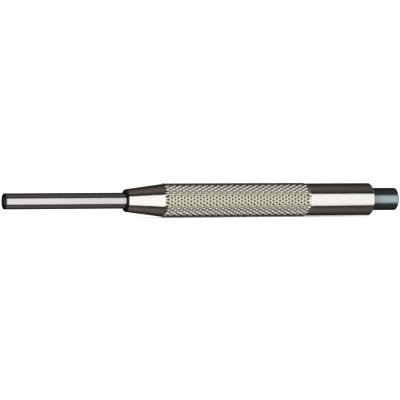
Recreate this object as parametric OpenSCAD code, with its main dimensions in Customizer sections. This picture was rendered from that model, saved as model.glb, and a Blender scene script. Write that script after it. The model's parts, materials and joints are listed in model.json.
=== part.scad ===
// Sleeved pin punch. A slim drive pin runs in a guide sleeve, which keeps it from bending.
// The sleeve is sprung. It slides back into a knurled barrel as the pin enters the work.
// Lengths are in millimetres. The working end is at the origin and the tool lies along +X.

/* [Drive pin] */
// Diameter of the drive pin
pin_d = 3; // [2.4:0.1:4]
// Depth of the pin's end inside the sleeve at rest
pin_recess = 0.4; // [0.2:0.1:1]
// Bevel round the pin's working end
pin_bevel = 0.2; // [0.1:0.05:0.4]
// Radial step from the pin to its upset head
pin_head_step = 0.8; // [0.5:0.1:1]
// Length of the upset head
pin_head_len = 1.6; // [1.2:0.1:2]

/* [Guide sleeve] */
// Wall of the guide sleeve round the drive pin
sleeve_wall = 0.9; // [0.6:0.05:1.3]
// Length of the sleeve that stands out of the nose at rest
sleeve_out = 38; // [32:0.5:50]
// Travel of the sleeve back into the barrel
travel = 30; // [22:0.5:34]
// Bevel round the sleeve's working end
sleeve_bevel = 0.15; // [0.1:0.01:0.3]
// Radial step from the sleeve to the collar that keeps it in the barrel
collar_step = 0.67; // [0.5:0.01:0.9]
// Length of the collar
collar_len = 4; // [3:0.5:5]

/* [Barrel] */
// Wall of the barrel round the striking head
rim_wall = 1.5; // [1.2:0.05:2.2]
// Length of the smooth band behind the knurl
band_len = 21.5; // [17.5:0.5:26]
// Wall of the nose at its front face
nose_wall = 1; // [0.8:0.05:1.5]
// Length of the tapered nose
nose_len = 11.5; // [9:0.5:14]
// Rounding of the nose's front edge
nose_round = 0.45; // [0.2:0.05:0.6]
// Drop from the band's radius to the taper's large end
taper_drop = 0.06; // [0:0.01:0.1]
// Bevel round the barrel's rear edge
rim_bevel = 0.3; // [0.2:0.05:0.5]
// Length of the bore in the nose that guides the sleeve
guide_len = 13; // [10:0.5:16]

/* [Knurl] */
// Length of the knurled grip
knurl_len = 47.5; // [40:0.5:60]
// Distance from groove to groove, square to the grooves
knurl_pitch = 1.03; // [0.8:0.01:1.3]
// Angle of the grooves to the tool's axis
knurl_angle = 30; // [24:1:36]
// Depth from the knurl's points to its grooves
knurl_depth = 0.42; // [0.3:0.02:0.5]
// Height of the knurl's points above the band
knurl_rise = 0.24; // [0.15:0.01:0.3]
// Depth of the plain core under the grooves
core_depth = 0.2; // [0.1:0.05:0.3]

/* [Striking head] */
// Length of the head that stands out of the barrel
head_out = 8.8; // [7:0.1:12]
// Length of the head that is pressed into the barrel
head_grip = 12; // [9:0.5:15]
// Bevel round the head's two ends
head_bevel = 0.3; // [0.2:0.05:0.5]

/* [Inside the barrel] */
// Radial step from the barrel's chamber to its wider rear bore
seat_step = 0.3; // [0.2:0.05:0.4]
// Thickness of the thrust disc behind the pin
disc_len = 1.5; // [1:0.1:2]
// Thickness of the pin holder's flange
flange_len = 3; // [2.5:0.1:4]
// Thickness of the spring follower's washer
follower_len = 0.8; // [0.6:0.1:1.2]
// Length of the follower's spigot inside the spring
follower_spigot = 2.5; // [2:0.1:3]

/* [Return spring] */
// Diameter of the spring's wire
wire_d = 0.5; // [0.4:0.02:0.6]
// Space between the spring's end turns
end_turn_gap = 0.45; // [0.41:0.01:0.6]
// Space left between neighbouring turns when the sleeve is fully back
least_turn_gap = 0.1; // [0.05:0.01:0.2]

/* [Clearances] */
// Radial clearance of the sleeve in the nose and of the pin in its bores
running_gap = 0.05; // [0.03:0.01:0.08]
// Radial clearance of the pieces that slide in the chamber
chamber_gap = 0.08; // [0.05:0.01:0.1]
// Radial clearance of the spring in the chamber and over the spigots
spring_gap = 0.15; // [0.1:0.01:0.2]
// Clearance at either end of the spring
seat_gap = 0.02; // [0.01:0.01:0.05]
// Space left between the two spigots when the sleeve is fully back
spigot_gap = 1.2; // [0.8:0.1:1.6]
// Overrun of a cut past the face that it opens
overrun = 0.5; // [0.3:0.1:1]

/* [Hidden] */
$fn = 96;

// Places along the tool, counted from the working end
nose_z = sleeve_out;
knurl_z = nose_z + nose_len;
band_z = knurl_z + knurl_len;
rim_z = band_z + band_len;
top_z = rim_z + head_out;
chamber_z = nose_z + guide_len;
collar_end_z = chamber_z + collar_len;
spring_z = collar_end_z + follower_len;
head_z = rim_z - head_grip;
disc_z = head_z - disc_len;
seat_z = disc_z - flange_len;

// Diameters, from the drive pin outwards: each piece goes round what it guides or holds
sleeve_bore_d = pin_d + 2 * running_gap;
sleeve_d = sleeve_bore_d + 2 * sleeve_wall;
slider_d = sleeve_d + 2 * collar_step;
chamber_d = slider_d + 2 * chamber_gap;
head_d = chamber_d + 2 * seat_step;
flange_d = head_d - 2 * chamber_gap;
band_d = head_d + 2 * rim_wall;
nose_bore_d = sleeve_d + 2 * running_gap;
nose_d = nose_bore_d + 2 * nose_wall;
pin_head_d = pin_d + 2 * pin_head_step;
pin_pocket_d = pin_head_d + 2 * running_gap;

// The knurl is a lattice of points and groove crossings that closes round the barrel
point_r = band_d / 2 + knurl_rise;
groove_r = point_r - knurl_depth;
core_r = groove_r - core_depth;
pitch_circle = 2 * PI * (point_r - knurl_depth / 2);
knurl_columns = 2 * round(pitch_circle * cos(knurl_angle) / knurl_pitch);
knurl_rows = 2 * round(knurl_len * sin(knurl_angle) / knurl_pitch);

// The spring, with as many turns as still leave a space between them when it is pressed together
spring_len = seat_z - spring_z;
pressed_len = spring_len - travel;
spring_turns = floor((pressed_len - wire_d) / (wire_d + least_turn_gap));
wire_sides = 6;
rings_per_turn = 8;
end_turns = 1.5;
coil_r = chamber_d / 2 - spring_gap - wire_d / 2;

// The wire runs straight from ring to ring, so halfway it comes nearest to the spigots
nearest_r = coil_r * cos(180 / rings_per_turn) - wire_d / 2;
spigot_d = 2 * (nearest_r - spring_gap);
holder_spigot = pressed_len - follower_spigot - spigot_gap;

// Lays along +X what is drawn standing on its working end
module lay() {
    rotate([0, 90, 0]) children();
}

// A round bar with a bevel at either end
module bar(d, from, to, near_bevel = 0, far_bevel = 0) {
    r = d / 2;
    rotate_extrude() polygon([
        [0, from],
        [r - near_bevel, from],
        [r, from + near_bevel],
        [r, to - far_bevel],
        [r - far_bevel, to],
        [0, to]
    ]);
}

// A round cut about the axis from one place to another
module bore(d, from, to) {
    translate([0, 0, from]) cylinder(d = d, h = to - from);
}

// Half of the barrel's outline, with a plain core where the knurl goes on
function barrel_outline(steps = 6) = [
    [0, nose_z],
    for (i = [0 : steps])
        let (turn = 90 * i / steps)
        [
            nose_d / 2 - nose_round + nose_round * sin(turn),
            nose_z + nose_round - nose_round * cos(turn)
        ],
    [band_d / 2 - taper_drop, knurl_z],
    [core_r, knurl_z],
    [core_r, band_z],
    [band_d / 2, band_z],
    [band_d / 2, rim_z - rim_bevel],
    [band_d / 2 - rim_bevel, rim_z],
    [0, rim_z]
];

// The lattice's radius at a column and row. Points and groove crossings take turns,
// and the first and last rows are drawn down to the grooves.
function knurl_r(column, row) =
    (column + row) % 2 == 1 && row > 0 && row < knurl_rows ? point_r : groove_r;

// One row of the lattice, or a plain ring of as many corners where row is undef
function knurl_ring(z, row = undef) = [
    for (column = [0 : knurl_columns - 1])
        let (
            turn = 360 * column / knurl_columns,
            r = is_undef(row) ? core_r : knurl_r(column, row)
        )
        [r * cos(turn), r * sin(turn), z]
];

// The diamond knurl: four faces to each point, and a plain ring buried at either end
module knurl() {
    count = knurl_columns;
    rings = [
        knurl_ring(knurl_z - overrun),
        for (row = [0 : knurl_rows]) knurl_ring(knurl_z + knurl_len * row / knurl_rows, row),
        knurl_ring(band_z + overrun)
    ];
    last = len(rings) - 1;
    // Each cell of the lattice is cut from corner to corner along its groove
    skin = [
        for (k = [0 : last - 1], i = [0 : count - 1])
            let (
                j = (i + 1) % count,
                a = k * count + i,
                b = k * count + j,
                c = (k + 1) * count + j,
                d = (k + 1) * count + i
            )
            each (i + k) % 2 == 1 ? [[a, c, b], [a, d, c]] : [[a, d, b], [b, d, c]]
    ];
    front = [for (i = [0 : count - 1]) i];
    back = [for (i = [count - 1 : -1 : 0]) last * count + i];
    polyhedron(points = [for (ring = rings) each ring], faces = [front, back, each skin]);
}

// The barrel: tapered nose, knurled grip and smooth band, bored from the rear in three steps
module barrel() {
    color([0.78, 0.76, 0.71]) lay() difference() {
        union() {
            rotate_extrude() polygon(barrel_outline());
            knurl();
        }
        bore(nose_bore_d, nose_z - overrun, chamber_z + overrun);
        bore(chamber_d, chamber_z, seat_z + overrun);
        bore(head_d, seat_z, rim_z + overrun);
    }
}

// The guide sleeve: a tube that runs in the nose and rests square on the work
module guide_sleeve() {
    color([0.70, 0.70, 0.69]) lay() difference() {
        bar(sleeve_d, 0, collar_end_z, near_bevel = sleeve_bevel);
        bore(sleeve_bore_d, -overrun, collar_end_z + overrun);
    }
}

// The collar pressed on the sleeve, which stops at the end of the nose's bore
module sleeve_collar() {
    color([0.62, 0.61, 0.58]) lay() difference() {
        bar(slider_d, chamber_z, collar_end_z);
        bore(sleeve_d, chamber_z - overrun, collar_end_z + overrun);
    }
}

// The washer between spring and collar, with a spigot that centres the spring
module spring_follower() {
    spigot_end_z = spring_z + follower_spigot;
    color([0.66, 0.58, 0.36]) lay() difference() {
        union() {
            bar(slider_d, collar_end_z, spring_z);
            bar(spigot_d, collar_end_z, spigot_end_z);
        }
        bore(sleeve_bore_d, collar_end_z - overrun, spigot_end_z + overrun);
    }
}

// Place of the wire's centre along the tool, after a number of turns
function wire_z(turns) =
    let (
        from = spring_z + wire_d / 2 + seat_gap,
        to = seat_z - wire_d / 2 - seat_gap,
        end_pitch = wire_d + end_turn_gap,
        end_len = end_turns * end_pitch,
        open_pitch = (to - from - 2 * end_len) / (spring_turns - 2 * end_turns)
    )
    turns < end_turns ? from + turns * end_pitch
    : turns > spring_turns - end_turns ? to - (spring_turns - turns) * end_pitch
    : from + end_len + (turns - end_turns) * open_pitch;

// The wire's centres, one to each ring of its skin
wire_path = [
    for (k = [0 : spring_turns * rings_per_turn])
        let (turn = 360 * k / rings_per_turn)
        [coil_r * cos(turn), coil_r * sin(turn), wire_z(k / rings_per_turn)]
];

// The least space between one turn of the wire and the next
turn_spaces = [
    for (k = [0 : len(wire_path) - 1 - rings_per_turn])
        norm(wire_path[k + rings_per_turn] - wire_path[k]) - wire_d
];
echo(least_space_between_turns = min(turn_spaces));

// The return spring, one unbroken wire wound round the axis
module return_spring() {
    last = len(wire_path) - 1;
    corners = [
        for (k = [0 : last], s = [0 : wire_sides - 1])
            let (
                turn = 360 * k / rings_per_turn,
                side = 360 * (s + 0.5) / wire_sides,
                out = wire_d / 2 * cos(side)
            )
            wire_path[k] + [out * cos(turn), out * sin(turn), wire_d / 2 * sin(side)]
    ];
    skin = [
        for (k = [0 : last - 1], s = [0 : wire_sides - 1])
            let (
                t = (s + 1) % wire_sides,
                a = k * wire_sides + s,
                b = k * wire_sides + t,
                c = (k + 1) * wire_sides + t,
                d = (k + 1) * wire_sides + s
            )
            each [[a, c, b], [a, d, c]]
    ];
    front = [for (s = [0 : wire_sides - 1]) s];
    back = [for (s = [wire_sides - 1 : -1 : 0]) last * wire_sides + s];
    color([0.45, 0.46, 0.48]) lay()
        polyhedron(points = corners, faces = [front, back, each skin]);
}

// The holder seated in the rear bore: its flange carries the spring and the pin's head
module pin_holder() {
    spigot_z = seat_z - holder_spigot;
    color([0.60, 0.60, 0.58]) lay() difference() {
        union() {
            bar(flange_d, seat_z, disc_z);
            bar(spigot_d, spigot_z, disc_z);
        }
        bore(sleeve_bore_d, spigot_z - overrun, disc_z + overrun);
        bore(pin_pocket_d, disc_z - pin_head_len, disc_z + overrun);
    }
}

// The hardened drive pin, a straight rod with an upset head
module drive_pin() {
    color([0.33, 0.33, 0.34]) lay() union() {
        bar(pin_d, pin_recess, disc_z, near_bevel = pin_bevel);
        bar(pin_head_d, disc_z - pin_head_len, disc_z);
    }
}

// The disc that carries the blow from the striking head to the pin
module thrust_disc() {
    color([0.50, 0.51, 0.53]) lay() bar(flange_d, disc_z, head_z);
}

// The blued striking head, a round plug pressed into the barrel
module striking_head() {
    color([0.17, 0.19, 0.22]) lay()
        bar(head_d, head_z, top_z, near_bevel = head_bevel, far_bevel = head_bevel);
}

barrel();
guide_sleeve();
sleeve_collar();
spring_follower();
return_spring();
pin_holder();
drive_pin();
thrust_disc();
striking_head();
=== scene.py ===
# %% [markdown]
# # A sleeved pin punch
# The real tool drives pins out of their holes. A slim hard pin runs in a sprung guide sleeve, the
# sleeve slides back into a knurled barrel, and a hammer strikes the blued head at the rear.
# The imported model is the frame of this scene: its nodes sit where the source puts them, in metres,
# with the working end at the origin and the tool along +X. Every piece made here is drawn in that
# same frame, so nothing has to be fitted afterwards.

import json
import math

import bmesh
import bpy
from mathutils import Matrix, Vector


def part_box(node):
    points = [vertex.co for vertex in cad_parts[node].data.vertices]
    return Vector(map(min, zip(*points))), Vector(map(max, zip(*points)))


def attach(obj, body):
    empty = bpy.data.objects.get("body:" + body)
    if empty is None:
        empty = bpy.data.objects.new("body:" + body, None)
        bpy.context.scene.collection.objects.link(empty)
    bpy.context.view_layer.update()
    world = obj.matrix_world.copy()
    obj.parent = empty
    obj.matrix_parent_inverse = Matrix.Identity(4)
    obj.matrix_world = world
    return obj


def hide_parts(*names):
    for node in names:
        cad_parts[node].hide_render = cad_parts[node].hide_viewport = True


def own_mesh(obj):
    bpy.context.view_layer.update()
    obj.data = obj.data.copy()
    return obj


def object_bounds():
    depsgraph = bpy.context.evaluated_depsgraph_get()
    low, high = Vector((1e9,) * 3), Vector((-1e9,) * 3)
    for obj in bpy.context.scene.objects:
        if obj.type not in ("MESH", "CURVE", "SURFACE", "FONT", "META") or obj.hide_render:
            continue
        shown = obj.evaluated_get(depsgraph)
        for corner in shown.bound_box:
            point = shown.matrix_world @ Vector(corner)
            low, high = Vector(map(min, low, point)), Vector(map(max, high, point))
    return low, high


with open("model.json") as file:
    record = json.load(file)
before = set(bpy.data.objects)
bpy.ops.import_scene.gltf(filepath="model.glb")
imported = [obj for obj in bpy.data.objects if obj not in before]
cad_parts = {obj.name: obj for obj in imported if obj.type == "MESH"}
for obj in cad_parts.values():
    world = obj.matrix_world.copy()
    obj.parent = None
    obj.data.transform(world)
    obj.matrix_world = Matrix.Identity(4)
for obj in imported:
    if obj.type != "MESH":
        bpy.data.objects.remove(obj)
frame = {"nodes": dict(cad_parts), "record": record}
cad_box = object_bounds()
MM = 0.001
print("frame box in mm:", [[round(v / MM, 2) for v in corner] for corner in cad_box])

# %% [markdown]
# ## The camera
# A long lens makes the tool look almost flat, and its working end comes a little nearer to the
# camera. The camera could be dragged into place by eye. Here its place is worked out from two
# angles, a distance and the point on the axis that it looks at, so that one number at a time can be
# corrected against the photograph.

# %% Camera
LENS, SENSOR = 279.5, 36.0
VIEW_TURN, VIEW_RISE = math.radians(-21.2), math.radians(0.95)
VIEW_DISTANCE = 942 * MM
LOOK_AT = Vector((62.39, 0, 0.05)) * MM

to_camera = Vector((
    math.sin(VIEW_TURN) * math.cos(VIEW_RISE),
    -math.cos(VIEW_TURN) * math.cos(VIEW_RISE),
    math.sin(VIEW_RISE),
))
bpy.ops.object.camera_add(location=LOOK_AT + to_camera * VIEW_DISTANCE)
camera = bpy.context.object
camera.name = "photo_camera"
camera.data.lens, camera.data.sensor_width = LENS, SENSOR
camera.rotation_euler = (-to_camera).to_track_quat("-Z", "Y").to_euler()
bpy.context.scene.camera = camera
print("camera at", [round(v, 3) for v in camera.location])

# %% [markdown]
# ## Sizes
# Places along the tool could all be typed in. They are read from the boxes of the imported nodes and
# from the mounts of the record, so that they follow the source. The boxes of round nodes are a hair
# too small, because their meshes have flat sides, so the radii repeat the values of the source, as
# do the lengths of the taper and of the holder's flange.

# %% Sizes from the frame
TAPER_LENGTH, FLANGE_LENGTH = 11.5 * MM, 3.0 * MM


def reach(node):
    """Where a node starts and ends along the tool."""
    low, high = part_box(node)
    return low.x, high.x


NOSE_X, RIM_X = reach("barrel")
SLEEVE_X, SLEEVE_END_X = reach("guide_sleeve")
PIN_X, PIN_END_X = reach("drive_pin")
HEAD_X, HEAD_END_X = reach("striking_head")
SPRING_X, SPRING_END_X = reach("return_spring")
SEAT_X = reach("pin_holder")[1] - FLANGE_LENGTH
CHAMBER_X = reach("sleeve_collar")[0]

band = next(m for m in frame["record"]["mounts"] if m["name"] == "holder_band")
BAND_R = band["dims"]["r_mm"] * MM
BAND_X = band["pos_m"][0] - band["dims"]["length_mm"] * MM / 2
KNURL_X = NOSE_X + TAPER_LENGTH

PIN_R, PIN_HEAD_R = 1.5 * MM, 2.3 * MM
BORE_R, SLEEVE_R = 1.55 * MM, 2.45 * MM
HEAD_R = 3.5 * MM
NOSE_BORE_R, NOSE_R = 2.5 * MM, 3.5 * MM
TAPER_R = BAND_R - 0.06 * MM
CHAMBER_R = 3.2 * MM
GROOVE_R = 4.77 * MM
print("knurl from", round(KNURL_X / MM, 2), "to", round(BAND_X / MM, 2), "mm")

# %% [markdown]
# ## Drawing and spinning
# The real barrel, sleeve, pin and head are turned on a lathe, and a lathe has a twin in Blender:
# an outline is drawn once in the half plane above the axis and then spun round it. A cylinder
# primitive could be stretched instead, but every bevel and bore would then need its own cut.
# The outline starts as a plane merged to a single point, which is extruded from corner to corner.
# Smooth shading bends the light across a face from one corner's normal to the next, so a long
# stroke is held by two more points close to its ends, and only the rounded edge itself bends.

# %% Helpers for outlines
LONG_STROKE, HOLD = 0.5 * MM, 0.02 * MM


def start_from_nothing():
    """Leaves edit mode's and the loader's selections behind."""
    if bpy.context.mode != "OBJECT":
        bpy.ops.object.mode_set(mode="OBJECT")
    bpy.ops.object.select_all(action="DESELECT")


def single_point(name, place):
    """A plane that is merged to its centre, left in edit mode."""
    start_from_nothing()
    bpy.ops.mesh.primitive_plane_add(size=MM, location=place)
    piece = bpy.context.object
    piece.name = piece.data.name = name
    bpy.ops.object.transform_apply(location=True, rotation=False, scale=False)
    bpy.ops.object.mode_set(mode="EDIT")
    bpy.ops.mesh.select_mode(type="VERT")
    bpy.ops.mesh.select_all(action="SELECT")
    bpy.ops.mesh.merge(type="CENTER")
    return piece


def held(points):
    """Adds a point close to both ends of each long stroke."""
    more = points[:1]
    for near, far in zip(points, points[1:]):
        length = math.dist(near, far)
        if length > LONG_STROKE:
            more += [tuple(a + (b - a) * share for a, b in zip(near, far))
                     for share in (HOLD / length, 1 - HOLD / length)]
        more.append(far)
    return more


def draw_outline(name, points):
    """Draws a line through (x, radius) points in the XZ plane, by extruding one point."""
    points = held(points)
    x, r = points[0]
    piece = single_point(name, (x, 0, r))
    for near, far in zip(points, points[1:]):
        step = (far[0] - near[0], 0, far[1] - near[1])
        bpy.ops.mesh.extrude_vertices_move(TRANSFORM_OT_translate={"value": step})
    return piece


def rounding(face_x, side_x, r, steps=5):
    """The points of a quarter circle from a flat face to the side, which starts at side_x."""
    radius = abs(side_x - face_x)
    return [
        (side_x + (face_x - side_x) * math.cos(t), r - radius + radius * math.sin(t))
        for t in (math.pi / 2 * k / steps for k in range(steps + 1))
    ]


# %% Helpers for closing and measuring
POLE_GAP = 0.0005 * MM


def merge_within(distance):
    """In edit mode, selects all and merges what lies within the distance."""
    bpy.ops.mesh.select_all(action="SELECT")
    bpy.ops.mesh.remove_doubles(threshold=distance)


def spin_round(piece, steps):
    """Spins the drawn outline once round the tool's axis and closes the seam and the poles."""
    bpy.ops.mesh.select_all(action="SELECT")
    bpy.ops.mesh.spin(steps=steps, angle=2 * math.pi, center=(0, 0, 0), axis=(1, 0, 0))
    merge_within(POLE_GAP)
    bpy.ops.mesh.normals_make_consistent(inside=False)
    bpy.ops.object.mode_set(mode="OBJECT")


def open_edges(piece):
    """How many edges of a piece have other than two faces. A closed piece has none."""
    shape = bmesh.new()
    shape.from_mesh(piece.data)
    count = sum(1 for edge in shape.edges if len(edge.link_faces) != 2)
    shape.free()
    return count


def report(piece):
    """Prints a piece's triangles, its open edges and its box."""
    triangles = sum(len(face.vertices) - 2 for face in piece.data.polygons)
    low = [round(min(v.co[i] for v in piece.data.vertices) / MM, 3) for i in range(3)]
    high = [round(max(v.co[i] for v in piece.data.vertices) / MM, 3) for i in range(3)]
    print(piece.name, triangles, "triangles,", open_edges(piece), "open edges,", low, high)


# %% [markdown]
# ## The guide sleeve
# The sleeve is a thin drawn tube whose end face stands square on the work. It could be a cylinder
# that a Solidify modifier gives its wall. Here its outline is a closed ring: along the outside, over
# the inner end, back through the bore, and across the tip. Its outer edge is rounded off, and that
# edge is what catches the small glint beside the dark face.

# %% Guide sleeve
SLEEVE_ROUND, SLEEVE_MOUTH = 0.15 * MM, 0.08 * MM
SLEEVE_SPIN = 96

sleeve = draw_outline("guide_sleeve_tube", [
    (SLEEVE_X, BORE_R + SLEEVE_MOUTH),
    *rounding(SLEEVE_X, SLEEVE_X + SLEEVE_ROUND, SLEEVE_R),
    (SLEEVE_END_X, SLEEVE_R),
    (SLEEVE_END_X, BORE_R),
    (SLEEVE_X + SLEEVE_MOUTH, BORE_R),
    (SLEEVE_X, BORE_R + SLEEVE_MOUTH),
])
spin_round(sleeve, SLEEVE_SPIN)
report(sleeve)

# %% [markdown]
# ## The drive pin and the striking head
# Both are solid rods, so their outlines start and end on the axis, where the spin closes the poles.
# Their working ends are rounded at the edge, the head's more than the pin's, because blows roll
# it over. Both could be bevelled plainly, but a rounded edge carries the highlight round the corner.

# %% Drive pin
PIN_ROUND, PIN_HEAD_LENGTH = 0.2 * MM, 1.6 * MM
PIN_SPIN = 72

pin = draw_outline("drive_pin_rod", [
    (PIN_X, 0),
    *rounding(PIN_X, PIN_X + PIN_ROUND, PIN_R),
    (PIN_END_X - PIN_HEAD_LENGTH, PIN_R),
    (PIN_END_X - PIN_HEAD_LENGTH, PIN_HEAD_R),
    (PIN_END_X, PIN_HEAD_R),
    (PIN_END_X, 0),
])
spin_round(pin, PIN_SPIN)
report(pin)

# %% Striking head
HEAD_BEVEL, HEAD_ROUND = 0.3 * MM, 0.4 * MM
HEAD_SPIN = 120

head = draw_outline("striking_head_plug", [
    (HEAD_X, 0),
    (HEAD_X, HEAD_R - HEAD_BEVEL),
    (HEAD_X + HEAD_BEVEL, HEAD_R),
    *rounding(HEAD_END_X, HEAD_END_X - HEAD_ROUND, HEAD_R, steps=6)[::-1],
    (HEAD_END_X, 0),
])
spin_round(head, HEAD_SPIN)
report(head)

# %% [markdown]
# ## One tooth of the knurl
# A knurl is rolled into the barrel by two wheels, which leave a lattice of small pyramids between
# two sets of grooves. It could be a bump in the finish, but the outline of the grip and the sparkle
# of its flanks need real teeth. One tooth is modelled: a square turned on its corner and drawn out
# along the tool, then inset and lifted four times. The flanks stand at close to 45 degrees, so
# that two of them make a square groove. A square groove sends light back to where it came from,
# after two reflections that each take the yellow of the plate, and only the four corners, where
# the teeth meet, stay dark. The last two steps round the crest. The corners lie exactly on the
# lattice.

# %% Tooth
COLUMNS, ROWS = 54, 46
COLUMN = 2 * math.pi / COLUMNS
ROW = (BAND_X - KNURL_X) / ROWS
HALF_WIDTH = GROOVE_R * math.sin(COLUMN)
TOOTH_STEPS = (
    (0.18 * MM, 0.22 * MM),
    (0.16 * MM, 0.16 * MM),
    (0.10 * MM, 0.07 * MM),
    (0.03 * MM, 0.012 * MM),
)

start_from_nothing()
bpy.ops.mesh.primitive_plane_add(
    size=math.sqrt(2) * ROW, location=(KNURL_X + ROW, 0, GROOVE_R), rotation=(0, 0, math.pi / 4))
knurl = bpy.context.object
knurl.name = knurl.data.name = "barrel_turned"
bpy.ops.object.transform_apply(location=True, rotation=True, scale=True)
bpy.ops.object.mode_set(mode="EDIT")
bpy.ops.mesh.select_all(action="SELECT")
bpy.ops.transform.resize(value=(1, HALF_WIDTH / ROW, 1), center_override=(KNURL_X, 0, 0))


def select(piece, kind, test):
    """In edit mode, selects the vertices, edges or faces ("verts", "edges", "faces") that pass."""
    bpy.ops.mesh.select_all(action="DESELECT")
    bpy.ops.mesh.select_mode(type={"verts": "VERT", "edges": "EDGE", "faces": "FACE"}[kind])
    shape = bmesh.from_edit_mesh(piece.data)
    for item in getattr(shape, kind):
        item.select_set(test(item))
    shape.select_flush_mode()
    bmesh.update_edit_mesh(piece.data)


select(knurl, "verts", lambda v: abs(v.co.y) > HALF_WIDTH / 2)
bpy.ops.transform.translate(value=(0, 0, GROOVE_R * (math.cos(COLUMN) - 1)))
bpy.ops.mesh.select_mode(type="FACE")
bpy.ops.mesh.select_all(action="SELECT")
for inward, outward in TOOTH_STEPS:
    bpy.ops.mesh.inset(thickness=inward)
    bpy.ops.transform.translate(value=(0, 0, outward))
bpy.ops.object.mode_set(mode="OBJECT")
report(knurl)

# %% [markdown]
# ## The whole knurl
# The wheels press the same tooth hundreds of times. It could be copied in a loop, but two Array
# modifiers do it at once: one round the barrel, by an empty that is turned by two columns of the
# lattice, and one along it, by an empty that is turned by one column and moved by one row. Where
# teeth meet, their corners fall together and are merged. The whole knurl is then turned by one
# column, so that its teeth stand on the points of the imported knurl.

# %% Copy the tooth round and along the barrel
CORNER_GAP = 0.002 * MM


def copies(piece, count, turn, shift):
    """Applies an Array modifier whose step is a turned and moved empty."""
    start_from_nothing()
    bpy.ops.object.empty_add(location=(shift, 0, 0), rotation=(turn, 0, 0))
    step = bpy.context.object
    start_from_nothing()
    bpy.context.view_layer.objects.active = piece
    piece.select_set(True)
    bpy.ops.object.modifier_add(type="ARRAY")
    array = piece.modifiers[-1]
    array.use_relative_offset, array.use_object_offset = False, True
    array.offset_object, array.count = step, count
    bpy.ops.object.modifier_apply(modifier=array.name)
    bpy.data.objects.remove(step)


copies(knurl, COLUMNS // 2, 2 * COLUMN, 0)
copies(knurl, ROWS - 1, COLUMN, ROW)
bpy.ops.object.mode_set(mode="EDIT")
merge_within(CORNER_GAP)
bpy.ops.transform.rotate(value=COLUMN, orient_axis="X", center_override=(0, 0, 0))
zigzag = sum(1 for e in bmesh.from_edit_mesh(knurl.data).edges if e.is_boundary)
print("knurl teeth", (ROWS - 1) * COLUMNS // 2, "with", zigzag, "edges at its two ends")

# %% [markdown]
# ## The knurl's two ends
# The wheels leave a zigzag at either end. It could be cut off straight, but cut teeth would stand
# there like a saw. Each zigzag is extruded, drawn flat onto the plane where the knurl starts or
# stops, and widened nearly to the smooth metal there, so that the grooves run out as they do under
# a real wheel. The end loops are then cut finer, because the smooth parts of the barrel are rounder.

# %% Square off the knurl
END_CUTS = 3
TAPER_STEP, BAND_STEP = 0.08 * MM, 0.09 * MM

for place, radius in ((KNURL_X, TAPER_R - TAPER_STEP), (BAND_X, BAND_R - BAND_STEP)):
    select(knurl, "edges", lambda e: e.is_boundary and abs(e.verts[0].co.x - place) < 2 * ROW)
    bpy.ops.mesh.extrude_edges_move()
    wider = radius / GROOVE_R
    bpy.ops.transform.resize(value=(0, wider, wider), center_override=(place, 0, 0))
    bpy.ops.mesh.subdivide(number_cuts=END_CUTS)
bpy.ops.object.mode_set(mode="OBJECT")
report(knurl)

# %% [markdown]
# ## The rest of the barrel
# Taper, nose, bores and smooth band are one turned piece with the knurl. They could stay a mesh of
# their own, but then a seam would run round the grip. They are one open outline that starts where
# the knurl ends, goes over the rim, in through the stepped bore, out at the nose and back up the
# taper. It is spun with four steps to each column of the lattice, so that its rings meet the
# knurl's corner for corner, and then bridged to it. The barrel becomes one closed piece.

# %% Barrel outline
RIM_BEVEL, REAR_MOUTH = 0.3 * MM, 0.1 * MM
NOSE_ROUND, NOSE_MOUTH = 0.45 * MM, 0.05 * MM
BAND_EDGE, TAPER_EDGE = 0.05 * MM, 0.04 * MM

shell = draw_outline("barrel_shell", [
    (BAND_X, BAND_R - BAND_EDGE),
    (BAND_X + BAND_EDGE, BAND_R),
    (RIM_X - RIM_BEVEL, BAND_R),
    (RIM_X, BAND_R - RIM_BEVEL),
    (RIM_X, HEAD_R + REAR_MOUTH),
    (RIM_X - REAR_MOUTH, HEAD_R),
    (SEAT_X, HEAD_R),
    (SEAT_X, CHAMBER_R),
    (CHAMBER_X, CHAMBER_R),
    (CHAMBER_X, NOSE_BORE_R),
    (NOSE_X + NOSE_MOUTH, NOSE_BORE_R),
    (NOSE_X, NOSE_BORE_R + NOSE_MOUTH),
    *rounding(NOSE_X, NOSE_X + NOSE_ROUND, NOSE_R, steps=6),
    (KNURL_X - TAPER_EDGE, TAPER_R),
    (KNURL_X, TAPER_R - TAPER_EDGE),
])
spin_round(shell, (END_CUTS + 1) * COLUMNS)
report(shell)

# %% Join the knurl and the shell
IN_PLANE = 0.001 * MM

start_from_nothing()
shell.select_set(True)
knurl.select_set(True)
bpy.context.view_layer.objects.active = knurl
bpy.ops.object.join()
barrel = knurl
bpy.ops.object.mode_set(mode="EDIT")
for place in (KNURL_X, BAND_X):
    select(barrel, "edges", lambda e: e.is_boundary
           and all(abs(v.co.x - place) < IN_PLANE for v in e.verts))
    bpy.ops.mesh.bridge_edge_loops()
bpy.ops.mesh.select_all(action="SELECT")
bpy.ops.mesh.normals_make_consistent(inside=False)
bpy.ops.object.mode_set(mode="OBJECT")
report(barrel)

# %% [markdown]
# ## The return spring
# The spring is one length of wire wound round the axis, with closer turns at either end. The packed
# spring has flat sides, so this one replaces it. Its helix could be written point by point. Here a
# point is swept by the Screw modifier, stretch by stretch, because each stretch has its own pitch,
# and the joined line becomes a curve whose round bevel is the wire.

# %% One stretch of the helix
WIRE_R, COIL_R = 0.25 * MM, 2.8 * MM
TURNS, END_TURNS, END_PITCH = 26, 1.5, 0.95 * MM
TURN_STEPS = 20


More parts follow.
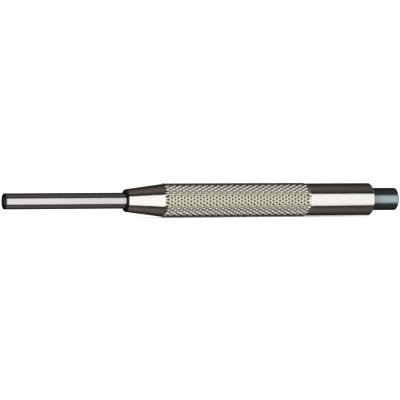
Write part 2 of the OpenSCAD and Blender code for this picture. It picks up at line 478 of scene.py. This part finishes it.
def stretch(x, length, first_turn, turns):
    """A point that a Screw modifier sweeps round the axis and along it."""
    angle = 2 * math.pi * first_turn
    piece = single_point("spring_stretch", (x, COIL_R * math.sin(angle), COIL_R * math.cos(angle)))
    bpy.ops.object.mode_set(mode="OBJECT")
    bpy.ops.object.modifier_add(type="SCREW")
    screw = piece.modifiers[-1]
    screw.axis, screw.angle, screw.screw_offset = "X", 2 * math.pi * turns, length
    screw.steps = screw.render_steps = round(turns * TURN_STEPS)
    bpy.ops.object.modifier_apply(modifier=screw.name)
    return piece


wire_from, wire_to = SPRING_X + WIRE_R, SPRING_END_X - WIRE_R
end_length = END_TURNS * END_PITCH
open_length = wire_to - wire_from - 2 * end_length
stretches = [
    stretch(wire_from, end_length, 0, END_TURNS),
    stretch(wire_from + end_length, open_length, END_TURNS, TURNS - 2 * END_TURNS),
    stretch(wire_to - end_length, end_length, TURNS - END_TURNS, END_TURNS),
]
print("open turns every", round(open_length / (TURNS - 2 * END_TURNS) / MM, 3), "mm")

# %% Return spring
STRETCH_GAP, WIRE_GAP = 0.01 * MM, 0.001 * MM
WIRE_ROUNDNESS = 2

start_from_nothing()
for part in stretches:
    part.select_set(True)
spring = stretches[0]
bpy.context.view_layer.objects.active = spring
bpy.ops.object.join()
spring.name = "return_spring_wire"
bpy.ops.object.mode_set(mode="EDIT")
merge_within(STRETCH_GAP)
bpy.ops.object.mode_set(mode="OBJECT")
bpy.ops.object.convert(target="CURVE")
spring.data.bevel_depth, spring.data.bevel_resolution = WIRE_R, WIRE_ROUNDNESS
spring.data.use_fill_caps = True
bpy.ops.object.convert(target="MESH")
spring.data.name = spring.name
bpy.ops.object.mode_set(mode="EDIT")
merge_within(WIRE_GAP)
bpy.ops.mesh.normals_make_consistent(inside=False)
bpy.ops.object.mode_set(mode="OBJECT")
report(spring)

# %% [markdown]
# ## Writing a finish
# A finish is a network of small nodes. It could be wired by hand in the shader editor. Here three
# small classes write it as arithmetic: a Wire is one value that adds its own Math nodes when it is
# added or multiplied, a Network makes any other node from its type, settings and inputs, and a
# Finish is the network of one material.

# %% Wires and networks
class Wire:
    """One value in a network. Arithmetic on it adds Math nodes."""

    def __init__(self, network, socket):
        self.network, self.socket = network, socket

    def maths(self, operation, first, second):
        return self.network.node(
            "ShaderNodeMath", {"operation": operation}, {0: first, 1: second})

    def __add__(self, other):
        return self.maths("ADD", self, other)

    def __sub__(self, other):
        return self.maths("SUBTRACT", self, other)

    def __rsub__(self, other):
        return self.maths("SUBTRACT", other, self)

    def __mul__(self, other):
        return self.maths("MULTIPLY", self, other)

    __radd__, __rmul__ = __add__, __mul__


class Network:
    """Adds nodes to a node tree."""

    def __init__(self, tree):
        self.tree = tree

    def node(self, kind, settings=None, inputs=None, output=0):
        """Any node, from its type, its settings and the values or wires of its sockets."""
        made = self.tree.nodes.new(kind)
        for name, value in (settings or {}).items():
            setattr(made, name, value)
        for name, value in (inputs or {}).items():
            self.feed(made, name, value)
        return Wire(self, made.outputs[output])

    def feed(self, made, name, value):
        """Links a wire to a socket, or sets the socket's own value."""
        socket = made.inputs[name]
        if isinstance(value, Wire):
            self.tree.links.new(value.socket, socket)
        elif isinstance(value, tuple) and len(value) == 3 and len(socket.default_value) == 4:
            socket.default_value = (*value, 1)
        else:
            socket.default_value = value

    def step(self, value, low, high, start=0.0, end=1.0):
        """A soft step from start to end while the value goes from low to high."""
        return self.node("ShaderNodeMapRange", {"interpolation_type": "SMOOTHSTEP"}, {
            "Value": value, "From Min": low, "From Max": high, "To Min": start, "To Max": end})

    def blend(self, factor, first, second):
        """A colour between the first, at factor 0, and the second, at factor 1."""
        return self.node(
            "ShaderNodeMix", {"data_type": "RGBA"}, {0: factor, 6: first, 7: second}, output=2)


# %% Finishes
class Finish(Network):
    """A material, its shader, and the places on the piece in millimetres."""

    def __init__(self, name, **constants):
        self.material = bpy.data.materials.new(name)
        self.material.use_nodes = True
        super().__init__(self.material.node_tree)
        self.shader = self.tree.nodes["Principled BSDF"]
        self.gives(**constants)
        places = self.node("ShaderNodeTexCoord", output="Object")
        self.mm = self.node(
            "ShaderNodeVectorMath", {"operation": "SCALE"}, {0: places, "Scale": 1 / MM})
        self.x, self.y, self.z = (
            self.node("ShaderNodeSeparateXYZ", {}, {0: self.mm}, output=k) for k in range(3))

    def gives(self, **values):
        """Feeds sockets of the shader, each named with _ for its spaces."""
        for name, value in values.items():
            self.feed(self.shader, name.replace("_", " "), value)
        print(self.material.name, "sets", ", ".join(values))

    def noise(self, spot, detail=2.0, seed=0.0):
        """Noise between 0 and 1, whose spots have these lengths along the axes in millimetres."""
        at = self.node("ShaderNodeVectorMath", {"operation": "MULTIPLY"},
                       {0: self.mm, 1: tuple(1 / length for length in spot)})
        return self.node("ShaderNodeTexNoise", {"noise_dimensions": "4D"},
                         {"Vector": at, "Scale": 1.0, "Detail": detail, "W": seed})


# %% [markdown]
# ## Nickel plate
# The barrel is turned, knurled and nickel plated. Nickel is a warm, slightly yellow mirror, and it
# looks yellower in the knurl, where light is mirrored twice. The taper and the smooth band keep
# faint strokes along the tool from polishing, and the band is a little duller from handling. The
# nose face and its rounded front edge are painted nearly black, as painted shade that puts out the
# lamps' glint there. Four materials could share this out, but one finish that reads how far along
# the tool and how far from the axis a point is keeps the plate whole.

# %% Barrel finish
KNURL_FROM, KNURL_TO, SOFT = KNURL_X / MM, BAND_X / MM, 0.1
GROOVE_MM, CREST_MM = 4.80, 5.20
HANDLED_FROM, HANDLED_TO = 96.0, 99.0
NOSE_SHADE_FROM, NOSE_SHADE_TO = 38.35, 38.5
STROKE_DARK, STROKE_LIGHT = (0.78, 0.755, 0.70), (0.84, 0.82, 0.765)
GROOVE_SHADE_COLOR, CREST_COLOR = (0.775, 0.755, 0.655), (0.82, 0.795, 0.69)
HANDLED_COLOR, NOSE_SHADE_COLOR = (0.72, 0.705, 0.66), (0.05, 0.048, 0.045)

plate = Finish("plated_barrel", Metallic=1.0, Specular_Tint=(0.55, 0.55, 0.55))
behind_taper = plate.step(plate.x, KNURL_FROM - SOFT, KNURL_FROM + SOFT)
before_band = plate.step(plate.x, KNURL_TO - SOFT, KNURL_TO + SOFT, start=1.0, end=0.0)
knurled = behind_taper * before_band
from_axis = plate.node("ShaderNodeMath", {"operation": "SQRT"}, {
    0: plate.y * plate.y + plate.z * plate.z})
height = plate.step(from_axis, GROOVE_MM, CREST_MM)
strokes = plate.noise((30, 0.25, 0.25), detail=3.0)
clouds = plate.noise((4, 4, 4), seed=3.0)
handled = plate.step(plate.x, HANDLED_FROM, HANDLED_TO, end=0.5)
# Painted shade: the nose face and its rounded front edge are painted nearly black.
nose_shade = plate.step(plate.x, NOSE_SHADE_FROM, NOSE_SHADE_TO, start=1.0, end=0.0)
polished_color = plate.blend(strokes, STROKE_DARK, STROKE_LIGHT)
smooth_color = plate.blend(handled, polished_color, HANDLED_COLOR)
# Painted shade: the knurl's grooves are painted a little darker than its crests.
grip_color = plate.blend(height, GROOVE_SHADE_COLOR, CREST_COLOR)
plate_color = plate.blend(knurled, smooth_color, grip_color)
smooth_roughness = 0.09 + 0.05 * strokes + 0.03 * clouds
grip_roughness = 0.10 + 0.03 * clouds
plate.gives(
    Base_Color=plate.blend(nose_shade, plate_color, NOSE_SHADE_COLOR),
    Roughness=(1 - knurled) * smooth_roughness + knurled * grip_roughness,
)

# %% [markdown]
# ## Ground sleeve steel
# The sleeve is bare steel, drawn and polished along its length. It is greyer than the plate, and its
# strokes are finer. Where it slides in the nose it has been rubbed a little duller. Its hardened end
# is painted black, on the face and just round the edge, as painted shade that puts out the lamps'
# glint there. The black could be a piece of its own, but it is a step in the colour, 0.4 mm from the
# end.

# %% Sleeve finish
RUBBED_FROM, RUBBED_TO = 8.0, 36.0
TIP_SHADE_FROM, TIP_SHADE_TO = 0.34, 0.42
FINE_DARK, FINE_LIGHT = (0.61, 0.60, 0.58), (0.65, 0.64, 0.62)
RUBBED_COLOR, TIP_SHADE_COLOR = (0.57, 0.57, 0.55), (0.11, 0.11, 0.10)

tube = Finish("ground_sleeve", Metallic=1.0, Specular_Tint=(0.3, 0.3, 0.3))
fine = tube.noise((25, 0.12, 0.12), detail=3.0, seed=5.0)
rubbed = tube.step(tube.x, RUBBED_FROM, RUBBED_TO)
# Painted shade: the tip's face and rounded edge are painted black.
tip_shade = tube.step(tube.x, TIP_SHADE_FROM, TIP_SHADE_TO, start=1.0, end=0.0)
tube_color = tube.blend(rubbed, tube.blend(fine, FINE_DARK, FINE_LIGHT), RUBBED_COLOR)
tube.gives(
    Base_Color=tube.blend(tip_shade, tube_color, TIP_SHADE_COLOR),
    Roughness=0.12 + 0.05 * fine + 0.03 * rubbed,
)

# %% [markdown]
# ## Blued head
# Bluing is a thin oxide on hard steel. It is nearly black with a navy cast by the barrel and turns
# grey-green towards the struck end, where use has rubbed it. It could be one even dark colour, but
# two soft steps along the tool tell which end is struck.

# %% Head finish
WORN_FROM, WORN_TO = 118.0, 123.5
STRUCK_FROM, STRUCK_TO = 126.5, 127.3
NAVY, GREY_GREEN, STRUCK_COLOR = (0.25, 0.255, 0.28), (0.31, 0.405, 0.40), (0.32, 0.31, 0.36)

blued = Finish("blued_head", Metallic=1.0, Specular_Tint=(0.15, 0.15, 0.15))
turned = blued.noise((0.3, 6, 6), seed=7.0)
worn = blued.step(blued.x, WORN_FROM, WORN_TO)
struck = blued.step(blued.x, STRUCK_FROM, STRUCK_TO)
blued.gives(
    Base_Color=blued.blend(struck, blued.blend(worn, NAVY, GREY_GREEN), STRUCK_COLOR),
    Roughness=0.23 + 0.05 * turned + 0.06 * struck,
)

# %% [markdown]
# ## Hard pin, turned steel and spring wire
# The pin is hardened tool steel, dark grey from heat, and its end is painted darker still, as
# painted shade at the bottom of the sleeve's recess. The pieces inside the barrel are turned steel,
# left as machined, with fine rings round them. The spring is oiled wire. One grey could do for
# pieces that hardly show, but they come into sight in a section, and noise with long or flat spots
# is enough to tell them apart.

# %% Pin finish
SCALE_DARK, SCALE_LIGHT = (0.24, 0.24, 0.25), (0.36, 0.35, 0.35)
PIN_END_SHADE_COLOR = (0.08, 0.08, 0.08)
PIN_END_SHADE_FROM, PIN_END_SHADE_TO = PIN_X / MM + 0.03, PIN_X / MM + 0.2

pin_steel = Finish("hardened_pin", Metallic=1.0)
scale_spots = pin_steel.noise((3, 1, 1), detail=3.0, seed=9.0)
# Painted shade: the pin's end is painted darker.
pin_end_shade = pin_steel.step(pin_steel.x, PIN_END_SHADE_FROM, PIN_END_SHADE_TO, start=1.0, end=0.0)
pin_color = pin_steel.blend(scale_spots, SCALE_DARK, SCALE_LIGHT)
pin_steel.gives(
    Base_Color=pin_steel.blend(pin_end_shade, pin_color, PIN_END_SHADE_COLOR),
    Roughness=0.26 + 0.10 * scale_spots,
)

# %% Turned steel and spring wire
RING_DARK, RING_LIGHT = (0.52, 0.51, 0.49), (0.64, 0.63, 0.60)
OILED_COLOR, DRY_COLOR = (0.36, 0.36, 0.38), (0.50, 0.50, 0.51)

inner = Finish("inner_steel", Metallic=1.0)
rings = inner.noise((0.12, 9, 9), seed=11.0)
inner.gives(
    Base_Color=inner.blend(rings, RING_DARK, RING_LIGHT),
    Roughness=0.22 + 0.14 * rings,
)

wire = Finish("spring_steel", Metallic=1.0)
dry = wire.noise((2, 2, 2), seed=13.0)
wire.gives(
    Base_Color=wire.blend(dry, OILED_COLOR, DRY_COLOR),
    Roughness=0.20 + 0.12 * dry,
)

# %% [markdown]
# ## Dress the pieces
# Each new piece rides on the body of the node that it replaces, and that node is hidden. The
# spring gets a mesh of its own. The collar, follower, holder and disc could be drawn anew as well,
# but their packed shapes are right, so they only get their finish.

# %% Ride, replace and paint
SMOOTH_ANGLE = math.radians(24)

for piece, node, body, slot, finish in (
    (barrel, "barrel", "barrel", "plated_barrel", plate),
    (sleeve, "guide_sleeve", "sleeve", "ground_sleeve", tube),
    (pin, "drive_pin", "barrel", "hardened_pin", pin_steel),
    (head, "striking_head", "barrel", "blued_head", blued),
    (spring, "return_spring", "barrel", "spring_steel", wire),
):
    start_from_nothing()
    bpy.context.view_layer.objects.active = piece
    piece.select_set(True)
    bpy.ops.object.shade_smooth_by_angle(angle=SMOOTH_ANGLE)
    piece.data.materials.clear()
    piece.data.materials.append(finish.material)
    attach(piece, body)
    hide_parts(node)
    print(piece.name, "stands for", node, "on", body)
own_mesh(spring)

for node in ("sleeve_collar", "spring_follower", "pin_holder", "thrust_disc"):
    for material_slot in frame["nodes"][node].material_slots:
        material_slot.link = "OBJECT"
        material_slot.material = inner.material

# %% [markdown]
# ## The floor
# The photograph shows the tool on plain white. The white could be a curved backdrop, as in a studio,
# but the camera looks nearly level, so a flat sheet of pale paper under the barrel does the same. It
# stays out of the mirror images, as if the tool were held up in the light tent.

# %% Floor
FLOOR_SIZE = 12
PAPER_DARK, PAPER_LIGHT = (0.90, 0.90, 0.90), (0.92, 0.92, 0.92)

bpy.ops.mesh.primitive_plane_add(size=FLOOR_SIZE, location=(0, 0, cad_box[0].z))
floor = bpy.context.object
floor.name = "pale_floor"
paper = Finish("pale_paper", Roughness=0.9, Specular_IOR_Level=0.0)
paper.gives(Base_Color=paper.blend(paper.noise((40, 40, 40), seed=17.0), PAPER_DARK, PAPER_LIGHT))
floor.data.materials.append(paper.material)
floor.visible_glossy = floor.visible_shadow = False
print("floor at", round(cad_box[0].z / MM, 2), "mm")

# %% [markdown]
# ## The room
# Polished metal shows its surroundings more than itself, so the light is arranged as what the tool
# mirrors. The room could be one even grey, but the long dark stripes beside the tool's bright band
# are the room itself, and they differ. To the camera and the paper the room is plain white. In
# mirror images it is dim, darker in front and behind, darkest towards the head, and lighter beyond
# the tool's two ends.

# %% Room
LEFT_END, RIGHT_END, HEAD_EDGE = (-0.82, -0.52), (0.60, 0.90), (0.415, 0.435)
FRONT_EDGE, REAR_EDGE = (-0.62, -0.30), (-0.05, 0.55)
BLACK, DIM = (0.0, 0.0, 0.0), (0.124, 0.106, 0.101)
LIGHTER, WHITE = (0.34, 0.34, 0.34), (1.5, 1.5, 1.5)

room = bpy.data.worlds.new("studio")
bpy.context.scene.world = room
bpy.context.scene.view_settings.view_transform = "Standard"
room.use_nodes = True
room.cycles.sampling_method = "NONE"
air = Network(room.node_tree)
mirrored = air.node("ShaderNodeLightPath", output="Is Glossy Ray")
towards = air.node("ShaderNodeTexCoord", output="Generated")
along, behind = (air.node("ShaderNodeSeparateXYZ", {}, {0: towards}, output=k) for k in (0, 1))
beyond_ends = (
    air.step(along, *LEFT_END, start=1.0, end=0.0) + air.step(along, *RIGHT_END, end=0.2))
overhead = (
    air.step(behind, *FRONT_EDGE, start=0.25)
    * air.step(behind, *REAR_EDGE, start=1.0, end=0.3)
    * air.step(along, *HEAD_EDGE, start=1.0, end=0.14)
)
mirror_image = air.blend(beyond_ends, air.blend(overhead, BLACK, DIM), LIGHTER)
background = room.node_tree.nodes["Background"]
air.feed(background, "Color", air.blend(mirrored, WHITE, mirror_image))
print("room of", len(room.node_tree.nodes), "nodes")

# %% [markdown]
# ## Softboxes
# In a studio, softboxes on stands give metal its bright bands. They could be glowing sheets, but
# area lamps give less noise and are easily hidden from the camera. A long row in front makes the
# band down the middle. It is dimmer at its left, which the knurl's upper and lower teeth mirror, and
# lower from the head on, whose band is narrower. Softboxes behind light the far side, with a gap
# where the end face of the tip would mirror them. The lamps' heights are angles, because a mirror
# that is turned up by one degree looks up by two.

# %% Softboxes
DISTANCE = 0.60
TOP = 38.8
COOL_WHITE = (1.0, 1.0, 1.03)
REAR_TALL = 0.7


def softbox(name, centre, facing, width, tall, glow):
    """A rectangular lamp of even brightness. Glow is what a perfect mirror shows of it."""
    start_from_nothing()
    bpy.ops.object.light_add(type="AREA", location=centre)
    lamp = bpy.context.object
    lamp.name = name
    lamp.rotation_euler = Vector(facing).to_track_quat("-Z", "Y").to_euler()
    lamp.data.shape = "RECTANGLE"
    lamp.data.size, lamp.data.size_y = width, tall
    lamp.data.energy = glow * math.pi * width * tall
    lamp.visible_camera = False
    print(name, round(width, 2), "by", round(tall, 2), "m")
    return lamp


def height_at(turn):
    """How high the front of the room is where a ray, turned up by turn degrees, meets it."""
    return DISTANCE * math.tan(math.radians(turn))


for name, left, right, low, high, glow in (
    ("far_left_softbox", -1.15, -0.24, -42.7, TOP, 0.7),
    ("lower_left_softbox", -0.24, -0.03, -42.7, -1.5, 0.35),
    ("left_softbox", -0.24, -0.03, -1.5, TOP, 0.14),
    ("front_softbox", -0.03, 0.24, -41.4, TOP, 1.16),
    ("right_softbox", 0.24, 0.475, -44.3, TOP, 1.16),
    ("head_softbox", 0.475, 0.60, -30.0, 26.0, 1.16),
    ("far_right_softbox", 0.60, 1.10, -28.0, TOP, 1.16),
):
    middle = ((left + right) / 2, -DISTANCE, (height_at(low) + height_at(high)) / 2)
    lamp = softbox(name, middle, (0, 1, 0), right - left, height_at(high) - height_at(low), glow)
    lamp.data.color = COOL_WHITE
for name, left, right, low, glow in (
    ("rear_left_softbox", -1.15, -0.30, -0.27, 0.9),
    ("rear_softbox", -0.13, 0.15, -0.27, 0.9),
    ("rear_right_softbox", 0.68, 1.30, 0.20, 0.9),
):
    middle = ((left + right) / 2, DISTANCE, low + REAR_TALL / 2)
    softbox(name, middle, (0, -1, 0), right - left, REAR_TALL, glow)

# %% [markdown]
# ## A black card
# In a studio, a black card beside a lamp gives the lamp's mirror image a sharp dark edge. It could
# be a dark part of the room, but the room's steps are soft, and a card ends in a line.

# %% Black card
CARD_X, CARD_WIDE, CARD_TALL = 0.114, 1.6, 0.15

felt = Finish("black_felt", Base_Color=(0.01, 0.01, 0.01), Roughness=1.0)
start_from_nothing()
bpy.ops.mesh.primitive_plane_add(
    size=1,
    location=(CARD_X, -DISTANCE, height_at(TOP) + CARD_TALL / 2),
    rotation=(math.pi / 2, 0, 0),
)
card = bpy.context.object
card.name = "upper_card"
card.scale = (CARD_WIDE, CARD_TALL, 1)
card.data.materials.append(felt.material)
card.visible_camera = card.visible_diffuse = card.visible_shadow = False
print("card from", round(height_at(TOP), 3), "m up")
